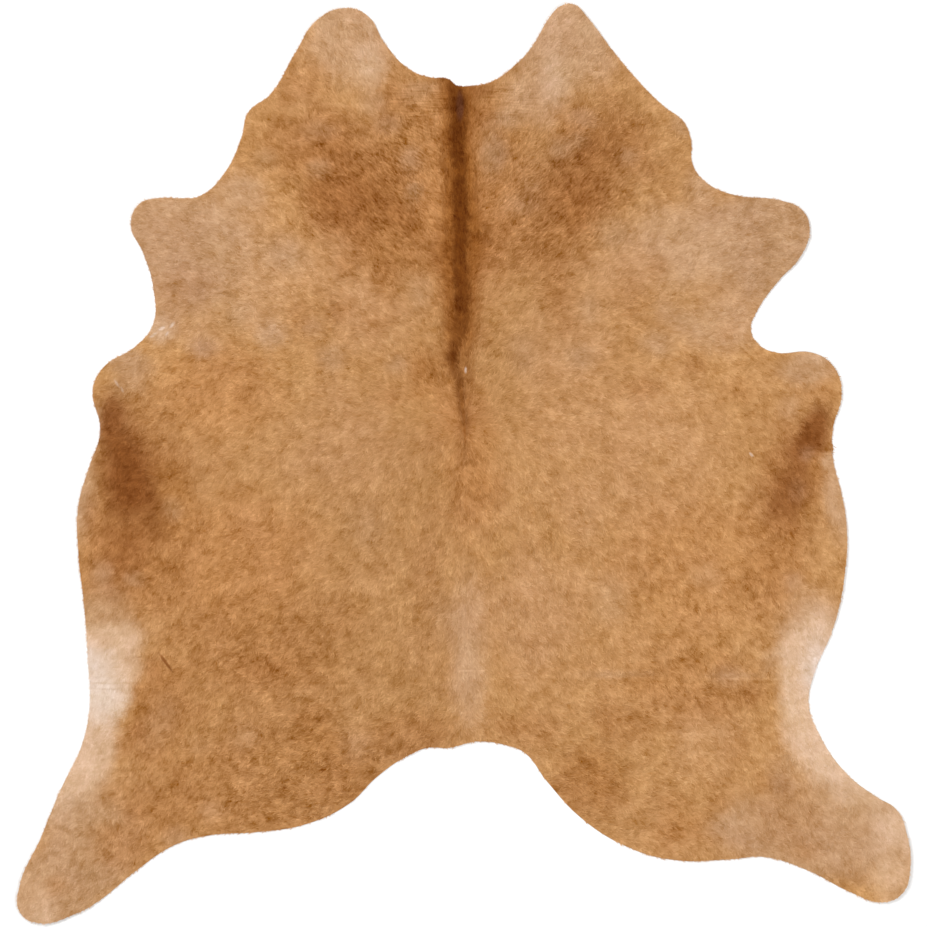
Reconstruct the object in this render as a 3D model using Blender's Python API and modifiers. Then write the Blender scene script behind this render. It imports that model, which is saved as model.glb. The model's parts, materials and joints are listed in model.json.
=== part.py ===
"""A whole cowhide with the hair on, laid out flat on the floor with its hair side up.

The skin is one piece: neck at +Y, rump at -Y, belly edges at both sides, hair at +Z. The
origin is on the floor, under the middle of the hide's length and width. Sizes are in metres.
"""

from collections import namedtuple

import bmesh
import bpy
from mathutils import Vector

MM = 0.001

# Driving sizes of the sheet, which is the leather with the hair lying flat on it.
THICKNESS_AT_SPINE = 5.5 * MM
THICKNESS_AT_BELLY = 4.0 * MM
SPINE_TO_BELLY = 850 * MM

# How finely the sheet is divided: the spacing of its rows, and the steps between edge points.
ROW_SPACING = 40 * MM
EDGE_STEPS = 6

COAT_COLOUR = (0.50, 0.25, 0.10, 1.0)
COAT_ROUGHNESS = 0.8

EdgePoint = namedtuple("EdgePoint", "across along")
Fold = namedtuple("Fold", "start end half_width height fade")
Lift = namedtuple("Lift", "across along reach height")

# The trimmed edge, clockwise from the neck as seen from above, in millimetres from the origin.
EDGE = {
    "neck step": [(-38, 879), (-28, 874), (-18, 864), (17, 862), (60, 870)],
    "right side of the neck": [
        (108, 901), (156, 952), (194, 1016), (222, 1044), (252, 1047), (284, 1016),
        (343, 939), (405, 866), (457, 815), (503, 779), (520, 735), (523, 683),
    ],
    "right fore leg": [
        (553, 642), (619, 613), (722, 601), (772, 579), (790, 537),
        (769, 471), (719, 416), (669, 345), (656, 309), (669, 277),
    ],
    "right flank": [
        (708, 255), (795, 254), (840, 227), (863, 168), (842, 72), (845, 1),
        (861, -60), (874, -138), (872, -234), (847, -366), (797, -489),
    ],
    "right hind leg": [
        (788, -548), (813, -619), (874, -706), (940, -758), (988, -788), (1011, -842),
        (1019, -922), (1002, -979), (956, -1001), (881, -978), (785, -929), (685, -898),
    ],
    "right thigh": [(603, -904), (471, -904), (368, -873), (266, -808), (188, -724), (138, -660)],
    "rump": [(95, -643), (31, -635), (-38, -650), (-79, -649), (-133, -671)],
    "left thigh": [(-197, -716), (-259, -776), (-357, -823), (-475, -842), (-573, -848)],
    "left hind leg": [
        (-656, -870), (-744, -928), (-833, -1000), (-897, -1033), (-961, -1049), (-1011, -1025),
        (-1013, -963), (-966, -856), (-918, -740), (-872, -644), (-853, -553),
    ],
    "left flank": [
        (-857, -448), (-866, -323), (-879, -204), (-879, -95),
        (-854, -6), (-829, 74), (-846, 170), (-820, 222),
    ],
    "left fore leg": [
        (-751, 266), (-709, 316), (-708, 400), (-731, 480), (-759, 542),
        (-740, 592), (-697, 606), (-646, 606), (-603, 610),
    ],
    "left side of the neck": [
        (-548, 659), (-507, 744), (-492, 801), (-441, 842), (-384, 937), (-334, 1012),
        (-268, 1039), (-215, 1019), (-179, 959), (-122, 899), (-74, 881),
    ],
}

# Folds left by folding the hide for storage. A fold fades out over its last stretch, and a
# height below zero is a trough. Places and sizes are in millimetres.
FOLDS = {
    "cross fold": Fold((-900, -503), (840, -494), half_width=16, height=2.0, fade=0),
    "spine fold": Fold((-10, 900), (2, 20), half_width=20, height=-1.6, fade=500),
    "tail ridge": Fold((10, -680), (10, -180), half_width=45, height=1.6, fade=180),
    "right flank fold": Fold((900, 27), (740, 27), half_width=14, height=1.6, fade=60),
}

# Where the edge stands a little off the floor, in millimetres.
LIFTS = {
    "left of the neck": Lift(-300, 1090, reach=260, height=6),
    "right of the neck": Lift(260, 1100, reach=250, height=8),
    "left fore leg": Lift(-810, 570, reach=230, height=6),
    "right fore leg": Lift(850, 520, reach=240, height=5),
    "left flank": Lift(-960, -180, reach=260, height=5),
    "right elbow": Lift(900, 230, reach=200, height=5),
    "right flank": Lift(950, -250, reach=240, height=6),
    "left hind leg": Lift(-1040, -1060, reach=290, height=7),
    "right hind leg": Lift(1080, -920, reach=300, height=8),
}


def clear_scene():
    for thing in list(bpy.data.objects):
        bpy.data.objects.remove(thing, do_unlink=True)


def edge_points():
    """The edge's points in metres, in order."""
    rows = [EdgePoint(*row) for section in EDGE.values() for row in section]
    return [Vector((row.across, row.along)) * MM for row in rows]


def smooth_step(share):
    share = min(max(share, 0.0), 1.0)
    return share * share * (3 - 2 * share)


def fold_height(fold, place):
    """The height that one fold gives the sheet at a place, highest on the fold's own line."""
    start, end = Vector(fold.start) * MM, Vector(fold.end) * MM
    run = end - start
    along = (place - start).dot(run.normalized())
    left = run.length - along
    if along < 0 or left < 0:
        return 0.0
    aside = (place - start - run.normalized() * along).length
    across_share = smooth_step(1 - aside / (fold.half_width * MM))
    end_share = smooth_step(left / (fold.fade * MM)) if fold.fade else 1.0
    return fold.height * MM * across_share * end_share


def lift_height(lift, place):
    """How far a lifted stretch of edge stands off the floor at a place."""
    away = (place - Vector((lift.across, lift.along)) * MM).length
    return lift.height * MM * smooth_step(1 - away / (lift.reach * MM))


def underside(place):
    """The height of the flesh side: on the floor, but for the raised folds and lifted edges."""
    raised = sum(max(fold_height(fold, place), 0.0) for fold in FOLDS.values())
    return raised + sum(lift_height(lift, place) for lift in LIFTS.values())


def thickness(place):
    """The sheet is thickest along the spine, thinner at the belly, and pressed in its troughs."""
    belly_share = smooth_step(abs(place.x) / SPINE_TO_BELLY)
    plain = THICKNESS_AT_SPINE + (THICKNESS_AT_BELLY - THICKNESS_AT_SPINE) * belly_share
    return plain + sum(min(fold_height(fold, place), 0.0) for fold in FOLDS.values())


def place_in(collection, thing):
    collection.objects.link(thing)
    return thing


def mesh_of(thing, name, collection):
    """A mesh object of what a curve or its modifiers show, in place of the object itself."""
    bpy.context.view_layer.update()
    shown = thing.evaluated_get(bpy.context.evaluated_depsgraph_get())
    made = bpy.data.objects.new(name, bpy.data.meshes.new_from_object(shown))
    made.matrix_world = thing.matrix_world
    bpy.data.objects.remove(thing, do_unlink=True)
    return place_in(collection, made)


def edge_cutter(collection):
    """An upright block with the hide's outline, taller than the sheet."""
    outline = bpy.data.curves.new("edge_outline", "CURVE")
    outline.dimensions = "2D"
    outline.fill_mode = "BOTH"
    outline.resolution_u = EDGE_STEPS
    outline.extrude = 4 * THICKNESS_AT_SPINE
    spline = outline.splines.new("BEZIER")
    points = edge_points()
    spline.bezier_points.add(len(points) - 1)
    for knot, point in zip(spline.bezier_points, points):
        knot.co = point.to_3d()
        knot.handle_left_type = "AUTO"
        knot.handle_right_type = "AUTO"
    spline.use_cyclic_u = True
    curve = place_in(collection, bpy.data.objects.new("edge_outline", outline))
    cutter = mesh_of(curve, "edge_cutter", collection)
    mesh = bmesh.new()
    mesh.from_mesh(cutter.data)
    bmesh.ops.remove_doubles(mesh, verts=mesh.verts, dist=0.01 * MM)
    bmesh.ops.recalc_face_normals(mesh, faces=mesh.faces)
    mesh.to_mesh(cutter.data)
    mesh.free()
    cutter.hide_render = True
    cutter.display_type = "WIRE"
    return cutter


def crease_lines(fold):
    """The straight lines that carry a fold's foot, crest and other foot."""
    start, end = Vector(fold.start) * MM, Vector(fold.end) * MM
    aside = (end - start).normalized().orthogonal() * fold.half_width * MM
    return [(start + aside * side, aside) for side in (-1, 0, 1)]


def divided_slab(collection):
    """A flat slab under the whole hide, divided into rows and along the folds."""
    points = edge_points()
    low = Vector((min(p.x for p in points), min(p.y for p in points)))
    high = Vector((max(p.x for p in points), max(p.y for p in points)))
    size = high - low + Vector((ROW_SPACING, ROW_SPACING))
    mesh = bmesh.new()
    bmesh.ops.create_grid(
        mesh,
        x_segments=round(size.x / ROW_SPACING),
        y_segments=round(size.y / ROW_SPACING),
        size=0.5,
    )
    middle = (low + high) / 2
    for vertex in mesh.verts:
        vertex.co = Vector((middle.x + vertex.co.x * size.x, middle.y + vertex.co.y * size.y, 0))
    for fold in FOLDS.values():
        for on_line, across_line in crease_lines(fold):
            bmesh.ops.bisect_plane(
                mesh,
                geom=mesh.verts[:] + mesh.edges[:] + mesh.faces[:],
                plane_co=on_line.to_3d(),
                plane_no=across_line.to_3d(),
                dist=2 * MM,
            )
    data = bpy.data.meshes.new("slab")
    mesh.to_mesh(data)
    mesh.free()
    slab = place_in(collection, bpy.data.objects.new("slab", data))
    solid = slab.modifiers.new("thickness", "SOLIDIFY")
    solid.thickness = THICKNESS_AT_SPINE
    solid.offset = 0
    return slab


def lay_on_floor(hide):
    """Gives the flat cut sheet its thickness, folds and lifted edges."""
    for vertex in hide.data.vertices:
        place = vertex.co.to_2d()
        on_hair_side = vertex.co.z > 0
        vertex.co.z = underside(place) + (thickness(place) if on_hair_side else 0.0)


def coat_material():
    material = bpy.data.materials.new("tan_hair")
    material.use_nodes = True
    shader = material.node_tree.nodes["Principled BSDF"]
    shader.inputs["Base Color"].default_value = COAT_COLOUR
    shader.inputs["Roughness"].default_value = COAT_ROUGHNESS
    shader.inputs["Metallic"].default_value = 0.0
    return material


def build_hide():
    parts = bpy.data.collections.new("leather_hide")
    helpers = bpy.data.collections.new("cutters")
    for collection in (parts, helpers):
        bpy.context.scene.collection.children.link(collection)
    cutter = edge_cutter(helpers)
    slab = divided_slab(parts)
    trim = slab.modifiers.new("trim_to_edge", "BOOLEAN")
    trim.operation = "INTERSECT"
    trim.object = cutter
    hide = mesh_of(slab, "hide", parts)
    lay_on_floor(hide)
    hide.data.shade_smooth()
    hide.data.set_sharp_from_angle(angle=0.7)
    hide.data.materials.clear()
    hide.data.materials.append(coat_material())


clear_scene()
build_hide()
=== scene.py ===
"""The looks of a hair-on cowhide rug that lies flat on a pale floor.

The skin is one thin sheet that follows the solid's outline and folds. The coat on it is made
lock by lock, combed along the way that the hair grows. Lengths are in metres.
"""

import json
from collections import namedtuple

import bmesh
import bpy
import numpy as np
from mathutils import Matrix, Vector, noise
from mathutils.bvhtree import BVHTree
from mathutils.geometry import delaunay_2d_cdt
from mathutils.kdtree import KDTree

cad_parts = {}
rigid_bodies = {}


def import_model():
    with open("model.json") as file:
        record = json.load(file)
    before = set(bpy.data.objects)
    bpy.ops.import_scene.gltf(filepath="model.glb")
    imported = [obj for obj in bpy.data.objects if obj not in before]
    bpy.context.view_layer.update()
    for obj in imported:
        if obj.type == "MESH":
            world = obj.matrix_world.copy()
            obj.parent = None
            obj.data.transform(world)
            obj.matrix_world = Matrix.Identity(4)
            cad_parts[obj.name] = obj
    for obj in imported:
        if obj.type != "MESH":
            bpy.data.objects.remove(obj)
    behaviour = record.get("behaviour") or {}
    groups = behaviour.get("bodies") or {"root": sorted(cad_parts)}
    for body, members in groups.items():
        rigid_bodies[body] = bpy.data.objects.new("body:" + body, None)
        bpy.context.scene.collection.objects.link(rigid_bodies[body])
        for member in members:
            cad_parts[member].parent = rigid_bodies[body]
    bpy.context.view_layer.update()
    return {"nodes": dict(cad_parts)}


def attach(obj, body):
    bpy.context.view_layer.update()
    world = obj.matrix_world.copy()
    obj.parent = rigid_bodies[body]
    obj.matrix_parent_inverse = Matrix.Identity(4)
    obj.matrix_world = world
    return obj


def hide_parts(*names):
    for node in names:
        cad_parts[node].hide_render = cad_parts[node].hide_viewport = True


MM = 0.001

# The photograph is square, and its whole height shows this much of the floor.
VIEW_WIDTH = 2113.6 * MM
CAMERA_HEIGHT = 12.0
SENSOR = 36.0

# The skin: leather, with the dense roots of the hair on top.
SKIN_THICKNESS = 2.8 * MM
SKIN_INSET = 1.2 * MM
SKIN_SPACING = 8.0 * MM
UNDERSIDE_SPACING = 28.0 * MM
STRIPE_SPACING = 4.0 * MM
STRIPE_REACH = 64.0 * MM
EDGE_SPACING = 5.0 * MM
EDGE_ROUND = 0.5 * MM
EDGE_RUNS = 6

# The coat, which is all the hair that stands above the roots.
LOCK_LENGTH = 11.0 * MM
LOCK_WIDTH = 1.6 * MM
LOCKS_IN_A_PIECE = 98_000
COAT_PIECES = 4
OVERHANG = 0.8 * MM
THINNEST_COAT = 1.0 * MM

# How the locks differ in length, width, height and reach past the leather's edge, and the
# most height for a lock's length.
LENGTH_SHARES = (0.65, 1.2)
WIDTH_SHARES = (0.7, 1.3)
DEPTH_SHARES = (0.4, 1.0)
OVERHANG_SHARES = (0.0, 1.3)
STEEPEST = 0.3

# How far a lock strays from the way that the hair grows, in radians, and the size of swirls.
SWIRL_SIZE = 45.0 * MM
SWIRL_YAW = 2.8
STRAY_YAW = 0.6
STRAY_PITCH = (-0.02, 0.05)
STRAY_ROLL = 0.2

# How far the coat's lightness varies at random from lock to lock, in streaks along the hair,
# and in tufts from about 5 mm to 40 mm wide.
LOCK_CONTRAST = 0.11
STREAK_CONTRAST = 1.0
TUFT_CONTRAST = 1.5
STREAK_WIDTH = 4.0 * MM
STREAK_REACH = 0.6 * STREAK_WIDTH
TUFT_SIZE = 42.0 * MM

# The coat's broad clouds of lighter and darker hair, and the least of any colour.
CLOUD_SIZE = 110.0 * MM
CLOUD_CONTRAST = 0.08
DEEPEST = 0.003

# Where the coat is lighter by one part, its red, green and blue are lighter by these.
LIGHTER_HAIR = (0.77, 1.09, 1.70)

# The whole coat's colour is brought this far, to make up for the shade between the locks.
COAT_TONE = (1.012, 1.022, 1.06)

# How far from the spine the hair of one side takes over from that of the other.
PARTING = 25.0 * MM

Growth = namedtuple("Growth", "out along reach angle")

# The way that the hair lies, at places on one side of the spine from the neck to the hind leg.
# The other side mirrors it. Places are in millimetres, out from the spine and along it. The
# angle is in degrees: 0 points at the rump, 90 away from the spine and 180 at the neck.
GROWTH = [
    (60, 780, 160, 165), (260, 900, 200, 140), (220, 560, 220, 132), (520, 520, 220, 112),
    (760, 520, 180, 88), (320, 240, 200, 88), (680, 220, 200, 60), (40, 200, 160, 150),
    (50, -60, 160, 12), (360, -80, 240, 48), (760, -80, 240, 38), (80, -420, 220, 25),
    (420, -420, 240, 50), (300, -720, 200, 78), (720, -480, 200, 30), (900, -860, 240, 40),
]

# Colours, as linear red, green and blue.
TAN = (0.538, 0.276, 0.103)
LIGHT_TAN = (0.575, 0.309, 0.138)
FAWN = (0.514, 0.295, 0.149)
DUSTY_TAN = (0.470, 0.253, 0.125)
BEIGE = (0.598, 0.357, 0.191)
PALE_FAWN = (0.686, 0.455, 0.281)
CREAM = (0.757, 0.605, 0.487)
OCHRE = (0.524, 0.237, 0.079)
RUST = (0.446, 0.197, 0.062)
BROWN = (0.360, 0.138, 0.037)
WARM_BROWN = (0.310, 0.104, 0.018)
GOLDEN_BROWN = (0.465, 0.205, 0.058)
DARK_BROWN = (0.232, 0.070, 0.014)
UMBER = (0.160, 0.041, 0.004)
PURPLE_BROWN = (0.130, 0.039, 0.014)

Patch = namedtuple(
    "Patch", "across along half_width half_length core colour strength turn", defaults=[0]
)

# Where the coat's colour differs, in millimetres from the middle of the hide. A patch has its
# whole strength within its core, and fades from there to its border. A turned patch has its
# turn last, in degrees.
PATCHES = {
    "left side of the neck": (-330, 850, 200, 200, 0.1, LIGHT_TAN, 0.1),
    # The neck's lobes, crests and tips are paler: a painted sheen on the hair there.
    "left neck lobe": (-258, 975, 130, 160, 0.35, BEIGE, 0.92, 12),
    "left neck crest": (-212, 905, 50, 90, 0.1, PALE_FAWN, 0.6, 8),
    "left neck tip": (-205, 1000, 30, 30, 0.1, PALE_FAWN, 0.5),
    "right neck lobe": (235, 955, 150, 170, 0.35, BEIGE, 0.95, -12),
    "right neck crest": (203, 870, 55, 105, 0.1, PALE_FAWN, 0.7, -4),
    "right of the nape": (130, 835, 80, 90, 0.1, BEIGE, 0.7, -20),
    "right neck tip": (300, 1000, 40, 70, 0.1, PALE_FAWN, 0.4, -38),
    "beside the spine": (0, 620, 180, 360, 0.4, OCHRE, 0.9),
    "left of the neck stripe": (-125, 760, 120, 170, 0.3, RUST, 0.75),
    "right of the neck stripe": (90, 700, 90, 130, 0.2, RUST, 0.5),
    "left shoulder top": (-350, 730, 180, 100, 0.3, RUST, 0.7, 15),
    "left shoulder": (-235, 600, 175, 270, 0.4, BROWN, 0.8, 36),
    "left shoulder core": (-255, 600, 120, 110, 0.1, BROWN, 0.95, 30),
    "left shoulder foot": (-160, 480, 120, 120, 0.2, RUST, 0.75, 10),
    "right shoulder top": (300, 740, 190, 100, 0.3, RUST, 0.8, -10),
    "right shoulder": (235, 610, 155, 260, 0.35, BROWN, 0.74, -38),
    "right shoulder core": (260, 600, 95, 120, 0.1, BROWN, 0.9, -20),
    "right shoulder foot": (190, 470, 130, 110, 0.2, RUST, 0.7, -30),
    "left fore leg": (-660, 500, 260, 190, 0.45, FAWN, 0.95),
    "left outer shoulder": (-480, 430, 150, 200, 0.25, BEIGE, 0.35, 10),
    "inner side of the left leg": (-640, 400, 80, 60, 0.2, RUST, 0.4),
    "right fore leg": (700, 500, 260, 190, 0.45, FAWN, 0.95),
    "right outer shoulder": (500, 500, 190, 140, 0.3, BEIGE, 0.8, 10),
    "left leg's root": (-500, 620, 80, 65, 0.2, FAWN, 0.8),
    "right leg's root": (535, 635, 55, 65, 0.1, BEIGE, 0.7),
    "behind the right leg": (580, 320, 150, 90, 0.25, BEIGE, 0.75),
    "behind the left leg": (-590, 330, 150, 80, 0.2, BEIGE, 0.35),
    "left upper back": (-200, 340, 130, 130, 0.2, LIGHT_TAN, 0.7),
    "left of the stripe's end": (-80, 210, 95, 95, 0.1, RUST, 0.95),
    "under the stripe's end": (-20, 130, 90, 110, 0.2, OCHRE, 0.6),
    "right upper back": (240, 270, 170, 170, 0.2, LIGHT_TAN, 0.65),
    "right of the shoulder": (350, 430, 130, 110, 0.2, LIGHT_TAN, 0.7),
    "left armpit": (-690, 310, 48, 50, 0.2, PALE_FAWN, 0.8, -40),
    "right elbow rim": (800, 246, 70, 22, 0.3, PALE_FAWN, 0.6),
    "left elbow": (-770, 235, 100, 50, 0.3, FAWN, 0.8, -20),
    "right elbow": (775, 215, 95, 50, 0.3, FAWN, 0.8),
    "left barrel": (-280, 50, 190, 200, 0.2, LIGHT_TAN, 0.55),
    "right barrel": (380, 40, 330, 210, 0.3, LIGHT_TAN, 0.55),
    "below the spine stripe": (15, -10, 110, 260, 0.1, OCHRE, 0.7),
    "left barrel side": (-560, 160, 200, 150, 0.3, OCHRE, 0.6),
    "left outer shoulder foot": (-330, 430, 160, 120, 0.2, LIGHT_TAN, 0.6),
    "left side": (-520, -230, 280, 240, 0.3, OCHRE, 0.7),
    "right side": (520, -250, 250, 260, 0.3, OCHRE, 0.45),
    "left flank shade": (-735, -75, 185, 330, 0.2, BROWN, 0.8, 8),
    "left flank": (-763, -20, 85, 190, 0.25, DARK_BROWN, 0.95, 13),
    "left flank foot": (-742, -140, 100, 130, 0.25, DARK_BROWN, 0.8),
    "left flank core": (-780, 35, 34, 85, 0.3, UMBER, 0.35, 12),
    "left flank top": (-802, 112, 52, 80, 0.2, DARK_BROWN, 0.8, -12),
    "left flank end": (-760, -230, 170, 160, 0.35, RUST, 0.95),
    "left flank tail": (-768, -215, 95, 115, 0.1, BROWN, 0.85, 6),
    "left flank tip": (-797, -278, 45, 62, 0.1, BROWN, 0.7),
    "right flank shade": (745, -45, 135, 280, 0.15, BROWN, 0.8, -16),
    "right flank top": (795, 70, 48, 100, 0.35, DARK_BROWN, 0.9, -18),
    "right flank core": (785, 60, 22, 40, 0.2, UMBER, 0.4, -10),
    "right flank": (738, -75, 62, 165, 0.2, DARK_BROWN, 0.62, -16),
    "inside the right flank's top": (738, 135, 45, 55, 0.1, FAWN, 0.35),
    # A painted highlight just below the flank fold.
    "right flank fold's light": (828, 5, 28, 30, 0.2, BEIGE, 0.8),
    "right flank end": (715, -220, 110, 140, 0.2, RUST, 0.75),
    "right side shade": (690, -280, 110, 130, 0.2, RUST, 0.4),
    "right flank edge": (862, -80, 55, 140, 0.3, BEIGE, 0.9, 4),
    "left flank edge": (-884, -60, 66, 150, 0.3, FAWN, 0.95),
    "left flank rim": (-845, 60, 24, 110, 0.2, FAWN, 0.8, -8),
    "left belly shade": (-825, -345, 120, 90, 0.2, FAWN, 0.8),
    "inside the left belly": (-690, -560, 85, 190, 0.4, RUST, 0.85, -12),
    "left belly": (-860, -480, 140, 140, 0.7, PALE_FAWN, 0.97),
    "left belly top": (-765, -395, 60, 60, 0.1, PALE_FAWN, 0.8),
    "left belly foot": (-845, -620, 95, 90, 0.3, PALE_FAWN, 0.85, -20),
    "left belly edge": (-882, -515, 138, 140, 0.5, CREAM, 0.85),
    "left stifle": (-895, -695, 122, 170, 0.45, PALE_FAWN, 0.88, -24),
    "right belly shade": (795, -345, 110, 85, 0.2, FAWN, 0.7),
    "right belly": (812, -480, 118, 175, 0.62, PALE_FAWN, 0.95),
    "right belly edge": (815, -500, 62, 150, 0.1, CREAM, 0.95, 6),
    "right stifle": (850, -650, 120, 190, 0.45, PALE_FAWN, 0.95, 40),
    "right leg rim": (935, -755, 85, 240, 0.5, PALE_FAWN, 0.9, 48),
    "right hind leg": (790, -840, 290, 150, 0.4, FAWN, 0.85),
    "inside the right leg": (740, -800, 110, 120, 0.3, RUST, 0.35, 30),
    "right hind foot": (980, -900, 90, 150, 0.25, PALE_FAWN, 0.6),
    "left hind leg": (-870, -900, 150, 260, 0.45, FAWN, 0.8, -36),
    "inside the left leg": (-740, -840, 90, 190, 0.3, RUST, 0.7, -50),
    "left hind foot": (-985, -975, 80, 130, 0.3, BEIGE, 0.85, -30),
    # The pale band down the tail head, and its rise, are a painted highlight along the raised ridge of
    # the spine.
    "tail head": (14, -425, 62, 255, 0.25, BEIGE, 0.75),
    "tail head rise": (12, -450, 34, 110, 0.1, PALE_FAWN, 0.2),
    "right loin": (150, -340, 190, 190, 0.3, LIGHT_TAN, 0.7),
    "left loin": (-130, -260, 150, 220, 0.2, LIGHT_TAN, 0.15),
    "left haunch": (-460, -440, 290, 200, 0.3, RUST, 0.75),
    "left haunch core": (-450, -465, 120, 70, 0.1, BROWN, 0.35),
    "left of the rump": (-130, -620, 140, 90, 0.3, RUST, 0.75),
    "left inner thigh": (-240, -700, 90, 90, 0.3, RUST, 0.6),
    "left thigh": (-450, -720, 350, 180, 0.5, RUST, 0.72),
    "right haunch": (510, -510, 240, 120, 0.3, RUST, 0.65),
    "right haunch foot": (370, -600, 100, 70, 0.2, RUST, 0.5),
    "right of the rump": (160, -600, 80, 60, 0.2, RUST, 0.5),
    "right inner thigh": (280, -730, 130, 120, 0.3, RUST, 0.75, 30),
    "right thigh": (550, -640, 120, 110, 0.2, LIGHT_TAN, 0.65),
    "right thigh edge": (520, -830, 150, 60, 0.2, OCHRE, 0.4),
}
PATCH_UNEVENNESS = 0.12
UNEVENNESS_SIZE = 90.0 * MM

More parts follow.
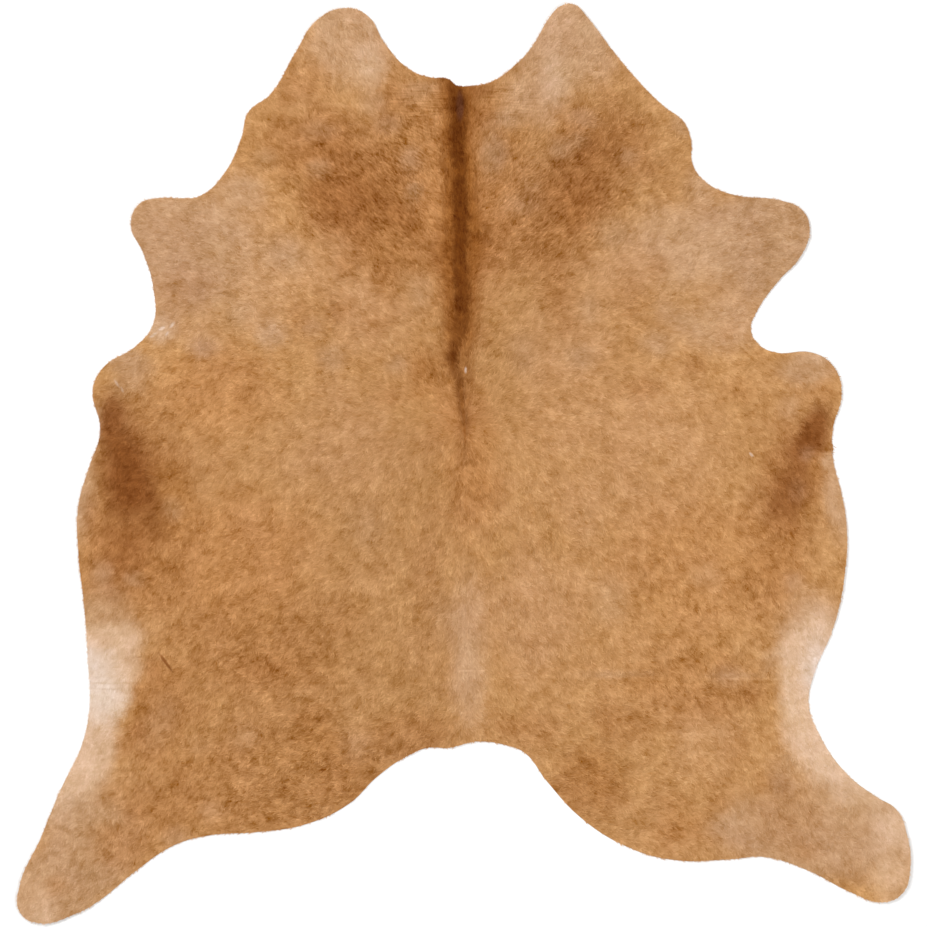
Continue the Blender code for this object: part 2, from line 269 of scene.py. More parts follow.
# Smaller spots of each colour, which fade from near their middle. Each has its place across
# and along, its half width, half length and strength, and its turn if it has one.
SPOT_CORE = 0.1
SPOTS = {
    DARK_BROWN: [
        (756, 40, 44, 46, 0.6), (-732, -152, 80, 66, 0.45), (-800, 60, 26, 60, 0.4, 14),
    ],
    BROWN: [
        (-152, 565, 42, 108, 0.75, 53), (-55, 475, 34, 60, 0.5), (34, 845, 48, 28, 0.9),
        (45, 785, 42, 58, 0.7), (60, 515, 60, 64, 0.45), (420, 668, 60, 42, 0.4),
        (-345, -575, 80, 48, 0.6), (-760, -165, 90, 52, 0.6), (650, -525, 52, 36, 0.45),
        (-450, -462, 100, 40, 0.35), (-180, 438, 42, 46, 0.55), (-320, 610, 40, 40, 0.4),
        (-210, 600, 42, 36, 0.35), (250, 540, 42, 40, 0.4), (740, -150, 46, 40, 0.35),
        (65, 460, 36, 40, 0.35), (-842, -115, 34, 80, 0.45, 4), (-695, -8, 40, 52, 0.45),
        (-800, -225, 42, 40, 0.45), (-705, -460, 36, 52, 0.55), (-738, -602, 34, 38, 0.6),
        (-700, -570, 34, 50, 0.4), (-745, -785, 54, 40, 0.5),
    ],
    GOLDEN_BROWN: [
        (-655, -80, 62, 160, 0.55), (-430, -450, 110, 70, 0.35), (-325, -620, 80, 120, 0.5),
        (-690, -600, 46, 60, 0.45), (300, -700, 76, 86, 0.4), (430, -500, 120, 60, 0.35),
        (-570, -300, 80, 70, 0.35), (-270, -340, 80, 80, 0.3), (-100, 150, 60, 40, 0.35),
        (45, -60, 60, 90, 0.4), (640, -140, 80, 60, 0.3), (800, 0, 30, 40, 0.4),
        (-82, 205, 50, 82, 0.5),
    ],
    RUST: [
        (-178, 405, 58, 112, 0.6, 12), (-280, 348, 48, 52, 0.55), (-365, 330, 50, 65, 0.45, 15),
        (-262, 450, 46, 46, 0.6), (-200, 320, 60, 55, 0.4), (-480, 228, 42, 38, 0.5),
        (-165, 150, 55, 40, 0.6), (-75, 65, 60, 70, 0.5), (-85, -250, 55, 250, 0.35),
        (-390, 850, 50, 80, 0.5, -40), (340, 825, 45, 75, 0.4, 35), (275, 480, 28, 55, 0.5),
        (208, 375, 60, 85, 0.7, 15), (370, 370, 58, 72, 0.35), (400, 170, 68, 40, 0.65),
        (520, 222, 48, 42, 0.5), (45, 290, 28, 60, 0.5), (-300, -700, 60, 115, 0.65),
        (-600, -565, 58, 52, 0.6), (-765, -752, 115, 60, 0.6), (-650, -390, 85, 42, 0.45),
        (320, -575, 46, 64, 0.55), (100, -600, 62, 48, 0.5), (-60, -600, 52, 52, 0.45),
        (470, -835, 48, 80, 0.7), (-880, -968, 80, 38, 0.35, -20), (-410, 775, 42, 36, 0.45),
        (400, 770, 42, 34, 0.4), (360, 600, 42, 42, 0.4), (440, 450, 46, 40, 0.4),
        (230, 310, 44, 36, 0.45), (-560, 0, 58, 50, 0.4), (-600, -450, 52, 40, 0.45),
        (-660, -600, 46, 42, 0.45), (-768, -640, 40, 44, 0.5), (-930, -960, 46, 40, 0.4),
        (480, -770, 52, 42, 0.45), (690, -720, 42, 40, 0.4), (780, -880, 52, 38, 0.4),
        (-620, -750, 46, 40, 0.4), (-350, -600, 52, 40, 0.3), (-335, 860, 62, 84, 0.5),
        (-300, 785, 32, 28, 0.5), (-362, 668, 34, 34, 0.45), (-737, -524, 28, 38, 0.8),
        (-822, -838, 52, 36, 0.5), (575, -560, 46, 42, 0.5), (588, -440, 46, 42, 0.5),
        (620, -640, 74, 92, 0.35), (540, -682, 32, 32, 0.3), (580, -775, 46, 38, 0.45),
        (440, -765, 42, 38, 0.35), (350, 20, 60, 60, 0.15), (500, -440, 60, 50, 0.3),
        (520, -560, 60, 50, 0.3), (620, 170, 60, 50, 0.4), (600, 300, 46, 40, 0.3),
        (820, 168, 40, 40, 0.5), (-700, -650, 40, 40, 0.4), (-640, -700, 50, 36, 0.35),
        (-158, 840, 28, 52, 0.55),
    ],
    FAWN: [
        (62, 690, 40, 80, 0.35), (92, 780, 36, 38, 0.5), (-205, 820, 50, 42, 0.5),
        (-325, 755, 64, 36, 0.3), (-405, 470, 80, 70, 0.8), (-98, 385, 42, 75, 0.4),
        (-300, 240, 50, 50, 0.6), (-430, 292, 55, 48, 0.7), (-500, 345, 48, 48, 0.5),
        (-150, 225, 38, 38, 0.5), (125, 588, 75, 38, 0.25), (345, 520, 60, 55, 0.55),
        (265, 245, 50, 50, 0.6), (440, 272, 65, 48, 0.6, -15), (130, 250, 50, 80, 0.35),
        (460, 350, 50, 50, 0.5), (285, 350, 36, 60, 0.4), (-690, -590, 60, 100, 0.3, -20),
        (-822, -250, 42, 50, 0.5), (595, -825, 75, 58, 0.8), (-850, -950, 66, 100, 0.6, -50),
        (335, -310, 70, 90, 0.45), (350, -478, 150, 14, 0.4), (620, -480, 110, 11, 0.4),
        (-450, 690, 46, 40, 0.45), (-330, 670, 44, 34, 0.4), (-112, 612, 30, 34, 0.35),
        (220, 710, 42, 34, 0.4), (370, 700, 40, 34, 0.35), (500, 330, 44, 40, 0.45),
        (-660, -100, 40, 44, 0.4), (-750, -262, 42, 30, 0.4), (780, 25, 30, 30, 0.25),
        (700, -450, 40, 46, 0.45), (-305, 990, 46, 62, 0.6), (-88, 852, 54, 26, 0.45),
        (110, 785, 52, 38, 0.4), (255, 735, 42, 32, 0.4), (490, 765, 30, 42, 0.5, 34),
        (-815, -396, 32, 28, 0.4), (-108, 622, 30, 26, 0.35), (-220, -140, 80, 100, 0.3),
        (-40, -350, 60, 90, 0.3), (60, 720, 36, 90, 0.4), (-762, 182, 72, 44, 0.6),
    ],
    DUSTY_TAN: [
        (-170, 770, 46, 42, 0.5), (-120, 690, 40, 50, 0.55), (82, 705, 34, 60, 0.6),
        (-340, 310, 42, 40, 0.5), (-650, -850, 52, 44, 0.5), (730, -730, 48, 40, 0.5),
        (600, -480, 56, 40, 0.5), (750, -270, 40, 40, 0.5), (760, -60, 30, 44, 0.25),
        (-620, 400, 92, 92, 0.8), (-590, 268, 62, 42, 0.8), (-672, 330, 44, 50, 0.5),
        (-660, 520, 110, 100, 0.5), (700, 520, 110, 90, 0.3), (640, -866, 72, 38, 0.4),
        (790, -850, 82, 38, 0.35), (720, -700, 50, 60, 0.5), (880, -935, 90, 34, 0.4, -24),
    ],
    LIGHT_TAN: [
        (-110, 838, 45, 38, 0.7), (-500, -620, 58, 46, 0.6), (-240, -640, 52, 52, 0.6),
        (-570, -790, 42, 36, 0.6), (550, -255, 64, 52, 0.6), (280, -100, 75, 145, 0.5),
        (-600, -640, 60, 40, 0.3), (600, -600, 50, 40, 0.4), (150, 632, 32, 28, 0.5),
    ],
    BEIGE: [
        (180, 785, 42, 46, 0.45), (270, 785, 60, 34, 0.35, -8), (850, -775, 55, 190, 0.4, 52),
        (-442, 300, 46, 54, 0.6), (200, 840, 60, 60, 0.35), (210, 720, 40, 40, 0.25),
    ],
    PALE_FAWN: [
        (745, -610, 40, 100, 0.5, 6), (735, -385, 44, 50, 0.3), (-960, -1028, 66, 42, 0.5),
        (765, -560, 34, 50, 0.4), (860, -740, 40, 70, 0.3, 48),
    ],
}

Lively = namedtuple("Lively", "across along reach more")

# Where the streaks and tufts stand out more than elsewhere, or less, and by how much.
LIVELINESS = [
    (0, 760, 190, 0.06), (-260, 970, 110, 0.20), (240, 960, 110, 0.25), (-240, 590, 170, 0.12),
    (250, 600, 170, 0.10), (-480, 430, 120, 0.30), (-690, 500, 120, 0.15), (700, 500, 120, 0.15),
    (0, -60, 260, -0.14), (10, -440, 90, -0.10), (-560, -80, 150, -0.12), (-430, -460, 170, 0.1),
    (520, -460, 170, 0.12), (800, -440, 110, 0.30), (-430, -740, 170, 0.3),
    (480, -740, 150, 0.08), (-870, -880, 140, 0.2),
]

Band = namedtuple("Band", "along middle half_width strength")

# The dark stripe down the spine, from the nape to past the shoulders, where it thins out.
STRIPE = [
    (880, -18, 58, 0.9), (800, -12, 58, 0.9), (740, -15, 51, 0.95), (650, -10, 56, 0.95),
    (560, -3, 67, 0.95), (480, -3, 79, 0.95), (400, -8, 58, 0.9), (330, -8, 60, 0.88),
    (290, -7, 60, 0.9), (230, -12, 50, 0.7), (160, -3, 26, 0.5), (70, 1, 18, 0.4),
    (-20, 12, 50, 0.2), (-120, 10, 50, 0.0),
]
STRIPE_CORE = [
    (880, -20, 24, 0.7), (800, -12, 30, 1.0), (740, -12, 25, 0.95), (650, -10, 21, 0.95),
    (560, -6, 26, 1.0), (480, -8, 22, 0.95), (400, -4, 24, 0.9), (330, -3, 27, 0.85),
    (290, -8, 26, 0.7), (240, -23, 19, 0.85), (205, -16, 14, 0.6), (185, -9, 13, 0.6),
    (100, 1, 7, 0.5), (20, 3, 6, 0.2), (-40, 10, 12, 0.0),
]
BAND_CORE = 0.35
BAND_UNEVENNESS = 3.0 * MM

# Small marks on the coat, in the same terms as the patches.
MARKS = {
    # A painted shadow in the crease along the spine fold.
    "spine line": (-7, 560, 8, 340, 0.3, UMBER, 0.6),
    # Painted shadow where the hide folds at the nape.
    "dark core at the nape": (-8, 815, 12, 46, 0.4, PURPLE_BROWN, 0.95),
    "spine notch": (-24, 240, 7, 26, 0.3, UMBER, 0.8),
    "speck on the spine": (5, 213, 4, 10, 0.2, CREAM, 0.6),
    "spine thread": (-4, 150, 6, 60, 0.3, WARM_BROWN, 0.5, 4),
    "spine thread end": (3, 75, 4, 65, 0.3, WARM_BROWN, 0.5, 2),
    "speck on the side": (656, 20, 4, 9, 0.3, CREAM, 0.6, 40),
    "armpit fleck": (-708, 292, 5, 14, 0.2, CREAM, 0.6, -55),
    "second armpit fleck": (-688, 308, 6, 12, 0.2, CREAM, 0.6, -60),
    "third armpit fleck": (-664, 316, 5, 12, 0.2, CREAM, 0.6, -40),
    "fourth armpit fleck": (-676, 296, 4, 10, 0.2, CREAM, 0.45, -30),
    "elbow fleck": (-790, 182, 4, 14, 0.2, CREAM, 0.35, 34),
    "second elbow fleck": (-778, 168, 4, 10, 0.2, CREAM, 0.35, 24),
    "scratch by the leg": (-434, 443, 3, 13, 0.3, BROWN, 0.6, 42),
    "second scratch by the leg": (-410, 463, 3, 11, 0.3, BROWN, 0.5, -66),
    "scar": (-679, -453, 5, 34, 0.4, DARK_BROWN, 0.9, 36),
    "rust spot": (-692, -500, 16, 26, 0.3, RUST, 0.7, -25),
}

Crease = namedtuple("Crease", "start end half_width light dark")

# Lines where the hair has been folded or wrinkled, drawn as a painted highlight on the left of the way
# from start to end, and painted shade on its right. Places are in millimetres.
CREASES = {
    "cross fold": ((70, -489), (530, -493), 9, 0.09, 0.08),
    "cross fold at the tail": ((-10, -475), (50, -475), 6, 0.16, 0.04),
    "left half of the cross fold": ((-60, -503), (-430, -504), 8, 0.07, 0.09),
    "right end of the cross fold": ((530, -494), (768, -494), 8, 0.20, 0.14),
    "left end of the cross fold": ((-430, -503), (-700, -503), 9, 0.08, 0.12),
    "fold in the left belly": ((-735, -504), (-880, -504), 8, 0.04, 0.12),
    "second fold in the left belly": ((-790, -517), (-880, -517), 6, 0.02, 0.1),
    "flank fold": ((845, 27), (768, 27), 10, 0.2, 0.2),
    "edge of the shade on the side": ((-478, 290), (-460, 190), 17, 0.04, 0.13),
    "armpit wrinkle": ((630, 270), (664, 238), 6, 0.10, 0.22),
    "second armpit wrinkle": ((626, 306), (648, 270), 6, 0.08, 0.15),
}
CREASE_OFFSET = 0.45
CREASE_UNEVENNESS_SIZE = 45.0 * MM

Wrinkles = namedtuple("Wrinkles", "across along half_width half_length turn length spacing depth")

# Fine wrinkles, which show as light and dark lines: painted highlight and painted shade. Lengths and
# places are in millimetres, and the turn, in degrees, is that of the lines.
WRINKLES = {
    "left of the nape": (-100, 824, 95, 62, 1, 46, 4.4, 0.95),
    "right of the nape": (110, 827, 95, 60, -1, 46, 4.4, 0.9),
    "left neck": (-110, 730, 100, 80, -28, 26, 4.5, 1.1),
    "left shoulder": (-220, 610, 230, 210, -42, 17, 4.5, 0.85),
    "right shoulder": (230, 620, 230, 210, 44, 17, 4.5, 0.85),
    "stripe": (-4, 600, 60, 330, 90, 50, 5, 0.55),
}
WRINKLE_CORE = 0.4

# The skin's flat map, in shares of its width: the scale and corner of the hair side and of
# the flesh side, and the strips of the cut edge.
HAIR_SIDE_MAP = (0.69, (0.0, 0.305))
FLESH_SIDE_MAP = (0.28, (0.0, 0.01))
EDGE_MAP_CORNER = (0.30, 0.02)
EDGE_MAP_WIDTH = 0.68
EDGE_RUN_RISE = 0.045
EDGE_ROW_RISE = 0.01

# The sheen of both hair materials.
HAIR_SHEEN = {"specular_ior_level": 0.12, "specular_tint": (1.0, 0.7, 0.4, 1.0)}


def rows_of(kind, table):
    """A table's rows with their parts named."""
    return [kind(*row) for row in table.values()]


def edge_loop(node):
    """The outline of a solid's top, as flat points in order round it."""
    mesh = bmesh.new()
    mesh.from_mesh(node.data)
    bmesh.ops.remove_doubles(mesh, verts=mesh.verts, dist=0.02 * MM)
    mesh.normal_update()

    def on_rim(edge):
        tilts = sorted(face.normal.z for face in edge.link_faces)
        return len(tilts) == 2 and abs(tilts[0]) < 0.5 < tilts[1]

    following = {}
    for edge in filter(on_rim, mesh.edges):
        for one, other in (edge.verts, reversed(edge.verts)):
            following.setdefault(one, []).append(other)
    start = last = next(iter(following))
    walk = [start]
    here = following[start][0]
    while here is not start:
        walk.append(here)
        ways = following[here]
        last, here = here, ways[0] if ways[1] is last else ways[1]
    loop = [Vector(vertex.co[:2]) for vertex in walk]
    mesh.free()
    turning = sum(a.x * b.y - b.x * a.y for a, b in zip(loop, loop[1:] + loop[:1]))
    return loop if turning > 0 else loop[::-1]


def evenly_spaced(loop, spacing):
    """The same loop with its points at an even spacing."""
    corners = np.array([*loop, loop[0]])
    steps = np.linalg.norm(np.diff(corners, axis=0), axis=1)
    along = np.concatenate([[0], np.cumsum(steps)])
    count = round(along[-1] / spacing)
    wanted = np.arange(count) * along[-1] / count
    return np.column_stack([np.interp(wanted, along, corners[:, axis]) for axis in (0, 1)])


def outward_of(loop):
    """The outward direction at each point of an anticlockwise loop."""
    run = np.roll(loop, -2, axis=0) - np.roll(loop, 2, axis=0)
    aside = np.column_stack([run[:, 1], -run[:, 0]])
    return aside / np.linalg.norm(aside, axis=1)[:, None]


def lattice(low, high, spacing):
    """Points at the corners of even triangles, over a box."""
    rows = []
    for index, y in enumerate(np.arange(low[1], high[1], spacing * 3**0.5 / 2)):
        across = np.arange(low[0] + (index % 2) * spacing / 2, high[0], spacing)
        rows.append(np.column_stack([across, np.full(len(across), y)]))
    return np.vstack(rows)


def nearest_finder(points):
    """A search tree of flat points."""
    tree = KDTree(len(points))
    for index, point in enumerate(points):
        tree.insert((*point, 0), index)
    tree.balance()
    return tree


def filled(loop, spacing, spacing_at_stripe=None):
    """Points and triangles that fill a loop about evenly. The loop's points come first."""
    tree = nearest_finder(loop)
    inner = lattice(loop.min(0), loop.max(0), spacing)
    if spacing_at_stripe:
        inner = inner[np.abs(inner[:, 0]) > STRIPE_REACH]
        low, high = (-STRIPE_REACH, loop[:, 1].min()), (STRIPE_REACH, loop[:, 1].max())
        inner = np.vstack([inner, lattice(low, high, spacing_at_stripe)])
    inner = [(x, y) for x, y in inner if tree.find((x, y, 0))[2] > spacing * 0.6]
    points = [Vector(p) for p in loop] + [Vector(p) for p in inner]
    border = list(range(len(loop)))
    verts, _, faces, origins, _, _ = delaunay_2d_cdt(points, [], [border], 1, 1e-7)
    order = [found[0] if found else -1 for found in origins]
    assert order[: len(loop)] == border
    used = sorted({index for face in faces for index in face} | set(border))
    renumbered = {index: at for at, index in enumerate(used)}
    places = np.array([verts[index][:] for index in used])
    return places, [[renumbered[index] for index in face] for face in faces]


def ray_heights(tree, places, from_above):
    """The height at which a vertical ray meets the solid at each place, or 0 beside it."""
    start, down = (1.0, -1.0) if from_above else (-1.0, 1.0)
    heights = []
    for x, y in places:
        hit = tree.ray_cast(Vector((x, y, start)), Vector((0, 0, down)))[0]
        heights.append(0.0 if hit is None else hit.z)
    return np.array(heights)


def mesh_object(name, points, faces):
    mesh = bpy.data.meshes.new(name)
    mesh.from_pydata(points.tolist(), [], faces)
    mesh.update()
    made = bpy.data.objects.new(name, mesh)
    bpy.context.scene.collection.objects.link(made)
    return made


def growth_direction(places):
    """The way that the hair lies at each place, as flat directions."""
    out, along = np.abs(places[:, 0]), places[:, 1]
    side = np.tanh(places[:, 0] / PARTING)
    total = np.zeros((len(places), 2))
    for row in map(Growth._make, GROWTH):
        away = (out - row.out * MM) ** 2 + (along - row.along * MM) ** 2
        weight = np.exp(-away / (row.reach * MM) ** 2)
        angle = np.radians(row.angle)
        total += weight[:, None] * np.array([np.sin(angle), -np.cos(angle)])
    total[:, 0] *= side
    return total / np.maximum(np.linalg.norm(total, axis=1), 1e-9)[:, None]


def edge_facts(places, rim, rim_out):
    """Each place's distance from the rim, and the outward direction there."""
    tree = nearest_finder(rim)
    found = [tree.find((x, y, 0)) for x, y in places]
    return np.array([f[2] for f in found]), rim_out[[f[1] for f in found]]


def wander(places, size, seed):
    """A smooth random shift at each place, in three parts of about -1 to 1."""
    noise.seed_set(1)
    rows = [
        noise.turbulence_vector(
            Vector((x / size, y / size, seed)), 3, False, noise_basis="PERLIN_ORIGINAL",
            amplitude_scale=0.6, frequency_scale=2.1,
        )
        for x, y in places
    ]
    return np.array(rows)


def softened(share, core):
    """0 at a border and 1 within the core, for a share that is 0 at the border and 1 inside."""
    share = np.clip(share / (1 - core), 0, 1)
    return share * share * (3 - 2 * share)


def tinted(tint, share, colour):
    return tint + share[:, None] * (np.array(colour) - tint)


def coat_tint(places):
    """The coat's colour at each place, without its streaks and tufts."""
    shift = wander(places, UNEVENNESS_SIZE, 5.0)
    broad = wander(places, CLOUD_SIZE, 9.0)
    tint = np.tile(TAN, (len(places), 1))
    patches = rows_of(Patch, PATCHES)
    for colour, spots in SPOTS.items():
        patches += [Patch(*spot[:4], SPOT_CORE, colour, *spot[4:]) for spot in spots]
    for patch in patches:
        turn = np.radians(patch.turn)
        unevenness = PATCH_UNEVENNESS * min(patch.half_width, patch.half_length) * MM
        away = places + shift[:, :2] * unevenness - np.array((patch.across, patch.along)) * MM
        aside = away @ (np.cos(turn), np.sin(turn)) / (patch.half_width * MM)
        onward = away @ (-np.sin(turn), np.cos(turn)) / (patch.half_length * MM)
        share = patch.strength * softened(1 - np.hypot(aside, onward), patch.core)
        tint = tinted(tint, share, patch.colour)
    for stripe, colour in ((STRIPE, WARM_BROWN), (STRIPE_CORE, UMBER)):
        rows = sorted(Band(*row) for row in stripe)
        middle, half_width, strength = (
            np.interp(places[:, 1], [row.along * MM for row in rows], values)
            for values in zip(*[(row.middle * MM, row.half_width * MM, row.strength) for row in rows])
        )
        aside = np.abs(places[:, 0] + shift[:, 2] * BAND_UNEVENNESS - middle) / half_width
        tint = tinted(tint, strength * softened(1 - aside, BAND_CORE), colour)
    tint *= 1 + CLOUD_CONTRAST * broad[:, :1] * np.array(LIGHTER_HAIR)
    tint[:, 2] *= 1 + 0.5 * CLOUD_CONTRAST * broad[:, 1]
    return np.maximum(tint, DEEPEST)


def coat_liveliness(places):
    """How strongly the streaks and tufts show at each place."""
    strength = np.ones(len(places))
    for row in map(Lively._make, LIVELINESS):
        away = places - np.array((row.across, row.along)) * MM
        strength += row.more * np.exp(-(away**2).sum(1) / (row.reach * MM) ** 2)
    return strength


def store(mesh, **named_values):
    """Keeps numbers or vectors for a mesh's points, under their names here."""
    for name, values in named_values.items():
        kind, part = ("FLOAT", "value") if values.ndim == 1 else ("FLOAT_VECTOR", "vector")
        if values.ndim == 2 and values.shape[1] == 2:
            values = np.column_stack([values, np.zeros(len(values))])
        kept = mesh.attributes.new(name, kind, "POINT")
        kept.data.foreach_set(part, values.astype(np.float32).ravel())


def map_skin(mesh, top_count, below_count, rim_count):
    """A flat map with the hair side, the flesh side and the cut edge each in a place of its own."""
    corners = np.empty(len(mesh.loops), np.int32)
    mesh.loops.foreach_get("vertex_index", corners)
    flat = np.array([vertex.co[:2] for vertex in mesh.vertices])[corners] / VIEW_WIDTH + 0.5
    below_start, rim_start = 3 * top_count, 3 * (top_count + below_count)
    for start, end, (scale, corner) in (
        (0, below_start, HAIR_SIDE_MAP), (below_start, rim_start, FLESH_SIDE_MAP)
    ):
        flat[start:end] = flat[start:end] * scale + corner
    a_run = -(-rim_count // EDGE_RUNS)
    step = EDGE_MAP_WIDTH / a_run
    for index in range(3 * rim_count):
        place, row = divmod(index, 3)
        run, at = divmod(place, a_run)
        left = EDGE_MAP_CORNER[0] + at * step
        low = EDGE_MAP_CORNER[1] + run * EDGE_RUN_RISE + row * EDGE_ROW_RISE
        right, high = left + step, low + EDGE_ROW_RISE
        first = rim_start + 4 * index
        flat[first:first + 4] = (left, low), (right, low), (right, high), (left, high)
    mesh.uv_layers.new(name="OFBake").data.foreach_set("uv", flat.astype(np.float32).ravel())


def build_skin(node):
    """The leather sheet, and the object that the coat grows on."""
    tree = BVHTree.FromPolygons(
        [v.co for v in node.data.vertices], [p.vertices[:] for p in node.data.polygons]
    )
    solid_rim = evenly_spaced(edge_loop(node), EDGE_SPACING)
    rim_out = outward_of(solid_rim)
    rim = solid_rim - rim_out * SKIN_INSET
    top, top_faces = filled(rim, SKIN_SPACING, STRIPE_SPACING)
    below, below_faces = filled(rim, UNDERSIDE_SPACING)
    floor = ray_heights(tree, top, False)
    top_at = np.column_stack([top, floor + SKIN_THICKNESS])
    below_at = np.column_stack([below, ray_heights(tree, below, False)])

    count = len(rim)
    foot = below_at[:count]
    rows = []
    for inset, share in ((EDGE_ROUND, 0.0), (0.0, 0.25), (0.0, 0.75)):
        row = foot.copy()
        row[:, :2] -= rim_out * inset
        row[:, 2] = foot[:, 2] + share * SKIN_THICKNESS
        rows.append(row)
    below_at[:count] = rows[0]
    top_at[:count, :2] -= rim_out * EDGE_ROUND
    points = np.vstack([top_at, below_at, rows[1], rows[2]])
    first_below = len(top_at)
    first_low = first_below + len(below_at)
    first_high = first_low + count
    faces = [list(face) for face in top_faces]
    faces += [[first_below + i for i in reversed(face)] for face in below_faces]
    for i in range(count):
        j = (i + 1) % count
        for low, high in ((first_below, first_low), (first_low, first_high), (first_high, 0)):
            faces.append([low + i, low + j, high + j, high + i])
    skin = mesh_object("hide_skin", points, faces)
    map_skin(skin.data, len(top_faces), len(below_faces), count)
    kinds = [0] * len(top_faces) + [2] * len(below_faces) + [1] * (3 * count)
    skin.data.polygons.foreach_set("material_index", kinds)
    skin.data.shade_smooth()
    skin.data.set_sharp_from_angle(angle=1.0)

    coat_base = mesh_object("coat_base", top_at, top_faces)
    gap, outward = edge_facts(top, solid_rim, rim_out)
    grows, tint, lively = growth_direction(top), coat_tint(top), coat_liveliness(top)
    depth = np.maximum(ray_heights(tree, top, True) - floor - SKIN_THICKNESS, THINNEST_COAT)
    store(coat_base.data, grows=grows, edge_gap=gap, outward=outward, tint=tint, lively=lively)
    store(coat_base.data, coat_depth=depth)
    others = len(points) - len(top)
    store(
        skin.data,
        grows=np.vstack([grows, np.tile((0, -1), (others, 1))]),
        tint=np.vstack([tint, np.tile(TAN, (others, 1))]),
        lively=np.concatenate([lively, np.ones(others)]),
    )
    return skin, coat_base


class Signal:
    """A node's output, which plain arithmetic can be written on."""

    def __init__(self, graph, socket):
        self.graph = graph
        self.socket = socket

    def math(self, operation, *others):
        values = dict(enumerate((self, *others)))
        return self.graph.node("ShaderNodeMath", {"operation": operation}, values)

    def __add__(self, other):
        return self.math("ADD", other)

    def __sub__(self, other):
        return self.math("SUBTRACT", other)

    def __mul__(self, other):
        return self.math("MULTIPLY", other)

    def __truediv__(self, other):
        return self.math("DIVIDE", other)

    def __rsub__(self, other):
        return self.graph.node("ShaderNodeMath", {"operation": "SUBTRACT"}, {0: other, 1: self})

    def __rtruediv__(self, other):
        return self.graph.node("ShaderNodeMath", {"operation": "DIVIDE"}, {0: other, 1: self})

    __radd__ = __add__
    __rmul__ = __mul__


class Graph:
    """A node tree, and the one way that nodes get into it."""

    def __init__(self, tree, prefix):
        self.tree = tree
        self.prefix = prefix

    def node(self, kind, settings=None, inputs=None, output=0):
        if not kind.startswith(("FunctionNode", "ShaderNode", "NodeGroup")):
            kind = self.prefix + kind
        made = self.tree.nodes.new(kind)
        for name, value in (settings or {}).items():
            setattr(made, name, value)
        for name, value in (inputs or {}).items():
            socket = self.find(made.inputs, name)
            if isinstance(value, Signal):
                self.tree.links.new(value.socket, socket)
            else:
                socket.default_value = value
        return Signal(self, self.find(made.outputs, output))

    @staticmethod
    def find(sockets, name):
        """A socket by its number or by its name among those in use."""
        if isinstance(name, int):
            return [s for s in sockets if s.enabled][name]
        return next(s for s in sockets if s.enabled and s.name == name)

    def vector(self, operation, *values):
        return self.node("ShaderNodeVectorMath", {"operation": operation}, dict(enumerate(values)))

    def noise(self, place, size, detail=2.0, roughness=0.5):
        """Noise whose blotches are about this size, from 0 to 1."""
        inputs = {"Vector": place, "Scale": 1 / size, "Detail": detail, "Roughness": roughness}
        return self.node("ShaderNodeTexNoise", {}, inputs, 0)

    def hair_shade(self, place, grows):
        """How much lighter the coat is at a place than around it, from streaks and tufts."""
        streaks = 0.0
        for step in (-STREAK_REACH, 0.0, STREAK_REACH):
            at = self.vector("MULTIPLY_ADD", grows, (step,) * 3, place)
            streaks = self.noise(at, STREAK_WIDTH, 1.0) + streaks
        tufts = self.noise(place, TUFT_SIZE, 3.0, 1.0)
        return (streaks / 3 - 0.5) * STREAK_CONTRAST + (tufts - 0.5) * TUFT_CONTRAST


class Material(Graph):
    """A material whose Principled shader's inputs are set or fed by name."""

    def __init__(self, name):
        self.material = bpy.data.materials.new(name)
        self.material.use_nodes = True
        super().__init__(self.material.node_tree, "ShaderNode")
        self.shader = self.tree.nodes["Principled BSDF"]

    def feed(self, **inputs):
        for name, value in inputs.items():
            socket = self.shader.inputs[name.replace("_", " ").title().replace("Ior", "IOR")]
            if isinstance(value, Signal):
                self.tree.links.new(value.socket, socket)
            else:
                socket.default_value = value

    def attribute(self, name, output="Vector"):
        return self.node("Attribute", {"attribute_name": name}, {}, output)

    def blend(self, factor, one, other, kind="MIX"):
        settings = {"data_type": "RGBA", "blend_type": kind}
        one, other = (c if isinstance(c, Signal) else (*c, 1.0) for c in (one, other))
        return self.node("Mix", settings, {"Factor": factor, "A": one, "B": other})

    def ramp(self, value, low, high, to_low=0.0, to_high=1.0):
        inputs = {0: value, 1: low, 2: high, 3: to_low, 4: to_high}
        return self.node("MapRange", {"interpolation_type": "SMOOTHSTEP"}, inputs)

    def local(self, place, middle, turn, half_sizes):
        """A place in terms of a turned box: 1 is at the box's sides."""
        mapping = {
            "Vector": place,
            "Location": (middle[0] * MM, middle[1] * MM, 0),
            "Rotation": (0, 0, turn),
            "Scale": (half_sizes[0] * MM, half_sizes[1] * MM, 1000),
        }
        return self.node("Mapping", {"vector_type": "TEXTURE"}, mapping)

    def bump(self, height, depth, strength=1.0):
        return self.node("Bump", {}, {"Height": height, "Distance": depth, "Strength": strength})


def mark_mask(m, place, mark):
    """1 in the middle of a mark, fading to 0 at its border."""
    half_sizes = (mark.half_width, mark.half_length)
    within = m.local(place, (mark.across, mark.along), np.radians(mark.turn), half_sizes)
    return m.ramp(m.vector("LENGTH", within), 1.0, mark.core) * mark.strength


